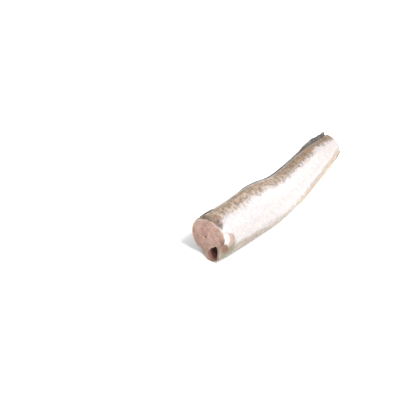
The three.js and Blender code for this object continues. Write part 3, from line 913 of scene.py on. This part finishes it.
def build_backbone(centre):
    """A column of hourglass vertebrae, each end face hollowed to a cone."""
    pitch, sides = 7.2, 40
    count = int(LENGTH / pitch)
    rows, marks = [], []
    turn = np.linspace(0, 2 * np.pi, sides, endpoint=False)

    def ring(x, scale, push=0.0):
        rise, shift, radius = bone_place(x)
        ripple = 1 + 0.02 * np.sin(turn * 7 + x)
        r = (radius - 0.12) * scale * ripple
        row = placed(np.full(sides, x), rise + r * np.cos(turn), shift + r * np.sin(turn))
        row[:, 0] += push
        rows.append(row)
        marks.append(np.full((sides, 3), scale))

    for scale in (0.02, 0.2, 0.4, 0.6, 0.75, 0.85, 0.93):
        ring(0.0, scale, -0.05 + 1.5 * (1 - scale) ** 1.15)
    ring(0.0, 0.985, 0.1)
    for x in np.linspace(0.8, LENGTH - 0.8, count * 6):
        part = (x / pitch) % 1
        ring(x, 1 - 0.22 * math.sin(math.pi * part) ** 2)
    ring(LENGTH, 0.985, -0.1)
    for scale in (0.93, 0.85, 0.75, 0.6, 0.4, 0.2, 0.02):
        ring(LENGTH, scale, 0.05 - 1.1 * (1 - scale) ** 1.15)
    made = Surface("backbone_column")
    made.grid(np.array(rows), BONE, {"bone": np.array(marks)}, wrap=True)
    return made.build(centre)


# ---- Fins ----------------------------------------------------------------------------------

def fin_sheet(name, finish, start, end, side, heights, lean, pitch, seed, centre):
    """A fin of membrane and rays along the back (side 1) or the belly (side -1)."""
    random = np.random.default_rng(seed)
    rays = int((end - start) / pitch)
    per_ray = 8
    q = np.linspace(start, end - 0.5, rays * per_ray + 1)
    phase_at = (q - start) / pitch
    phase = 0.5 + 0.5 * np.cos(2 * np.pi * phase_at)
    worn = np.interp(phase_at, np.arange(rays + 2), 1 + random.uniform(-0.09, 0.06, rays + 2))
    places, values = zip(*heights)
    height = np.interp(q, places, values)
    height = height * smooth(start - 2, start + 12, q) * worn * (0.86 + 0.14 * phase)
    sway = np.interp(phase_at, np.arange(rays + 2), random.uniform(-0.9, 0.9, rays + 2))
    levels = np.linspace(0, 1, 13)[None, :]
    edge = along(DEPTHS, q)[:, None] / 2
    climb = height[:, None] * levels
    x = np.minimum(q[:, None] + lean * climb, LENGTH + 3.0)
    thick = (1.5 * (1 - levels) ** 1.2 + 0.42) * (0.55 + 0.45 * phase[:, None] ** 2)
    bend = sway[:, None] * levels ** 1.6 * 0.9 * smooth(0, 6, climb + 2) + 0.5 * levels ** 2
    surface = Surface(name)
    made = []
    for face in (1, -1):
        up = side * (edge - 1.2 + (climb + 1.2 * levels))
        out = side * (bend + face * thick / 2)
        made.append(placed(np.minimum(x, LENGTH), up, out)
                    + np.stack([np.maximum(x - LENGTH, 0), x * 0, x * 0], -1))
    both = np.concatenate([made[0], made[1][:, ::-1]], axis=1)
    marks = np.stack(np.broadcast_arrays(phase[:, None], levels, 0.0), -1)
    both_marks = np.concatenate([marks, marks[:, ::-1]], axis=1)
    surface.grid(both, finish, {"fin": both_marks}, wrap=True, flip=side > 0)
    for row, turned in ((0, side > 0), (-1, side < 0)):
        cap = both[row].reshape(1, -1, 3)
        half = cap.shape[1] // 2
        strip = np.stack([cap[0, :half], cap[0, half:][::-1]], 0)
        surface.grid(strip, finish, {"fin": np.zeros(strip.shape)}, flip=turned)
    return surface.build(centre)


def build_first_dorsal(centre):
    """The short front fin: a bundle of spines pressed flat on the back behind the cut."""
    random = np.random.default_rng(5)
    surface = Surface("first_dorsal_fin_folded")
    for k in range(9):
        start = 3.6 + 1.7 * k
        length = 13.5 - 0.85 * k + random.uniform(-0.8, 0.8)
        fan = 0.03 + 0.045 * k + random.uniform(-0.02, 0.02)
        t = np.linspace(0, 1, 26)
        turn = np.linspace(0, 2 * np.pi, 12, endpoint=False)
        x = start + length * t
        arc = 0.25 + fan * length * t * 1.3 + 0.25 * np.sin(3 * t + k)
        radius = 0.62 * (1 - t) ** 0.6 + 0.12
        lift = 0.25 + 0.9 * np.sin(np.pi * np.clip(t * 1.1, 0, 1)) * (0.5 + 0.1 * (k % 3))
        edge = along(DEPTHS, x) / 2
        sag = arc ** 2 / 42
        up = (edge + lift - sag - 0.35)[:, None] + radius[:, None] * np.cos(turn)
        out = arc[:, None] + radius[:, None] * 1.25 * np.sin(turn)
        points = placed(np.broadcast_to(x[:, None], up.shape), up, out)
        marks = np.stack(np.broadcast_arrays(1.0, t[:, None], turn[None] * 0), -1)
        surface.grid(points, DARK_FIN, {"fin": marks}, wrap=True)
    return surface.build(centre)


# ---- Putting it together -------------------------------------------------------------------

trunk = build_trunk(centre)
backbone = build_backbone(centre)
second_dorsal = fin_sheet(
    "second_dorsal_fin_rays", DARK_FIN, 66, 260.5, 1,
    ((66, 1.4), (124, 1.3), (173, 1.2), (195, 2.0), (206, 3.8), (231, 5.8), (260.5, 5.0)),
    0.75, 2.3, 3, centre)
anal = fin_sheet(
    "anal_fin_rays", PALE_FIN, 131, 259, -1,
    ((131, 2.4), (200, 2.4), (240, 4.2), (259, 2.9)), 0.7, 2.4, 4, centre)
first_dorsal = build_first_dorsal(centre)

PIECES = ((trunk, "hake_trunk", "skin"), (backbone, "backbone", "bone"),
          (first_dorsal, "first_dorsal_fin", "dark_fin"),
          (second_dorsal, "second_dorsal_fin", "dark_fin"), (anal, "anal_fin", "pale_fin"))
for piece, node, slot in PIECES:
    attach(piece, "root")
    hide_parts(node)


# ---- Table and light -----------------------------------------------------------------------

# Name, turn and height in degrees, distance and size in metres, power in watts, colour.
LAMPS = (("key_lamp", 12, 52, 1.5, 0.7, 32, (1, 0.99, 0.98)),
         ("side_lamp", 80, 35, 1.7, 0.6, 8, (0.97, 0.985, 1)),
         ("back_lamp", 185, 48, 1.8, 0.7, 8, (1, 1, 1)))

# Rings of the table top, from its middle to its rounded rim: radius and height.
TABLE_RINGS = ((0.5, 0), (200, 0), (700, 0), (1500, 0), (4000, 0), (6000, 0),
               (6006, -3), (6008, -12), (6008, -40))


def build_table():
    """A wide table top with a softly rounded rim far from the fish."""
    turn = np.linspace(0, 2 * np.pi, 96, endpoint=False)
    rings = [np.stack([radius * np.cos(turn), radius * np.sin(turn), turn * 0 + z], -1)
             for radius, z in TABLE_RINGS]
    surface = Surface("table_top")
    surface.grid(np.array(rings), table_finish(), wrap=True, flip=True)
    table = surface.build(np.zeros(3))


def add_light(name, turn, height, distance, size, power, colour):
    """A large soft lamp that faces the fish."""
    turn, height = math.radians(turn), math.radians(height)
    back = Vector((math.sin(turn) * math.cos(height), -math.cos(turn) * math.cos(height),
                   math.sin(height)))
    data = bpy.data.lights.new(name, "AREA")
    data.shape = "DISK"
    data.size = size
    data.energy = power
    data.color = colour
    lamp = bpy.data.objects.new(name, data)
    lamp.location = back * distance
    lamp.rotation_mode = "QUATERNION"
    lamp.rotation_quaternion = (-back).to_track_quat("-Z", "Y")
    bpy.context.scene.collection.objects.link(lamp)


build_table()
for lamp in LAMPS:
    add_light(*lamp)

world = bpy.data.worlds.new("studio")
world.use_nodes = True
background = world.node_tree.nodes["Background"]
background.inputs["Color"].default_value = (0.93, 0.95, 1, 1)
background.inputs["Strength"].default_value = 0.58
bpy.context.scene.world = world
bpy.context.scene.view_settings.view_transform = "Standard"
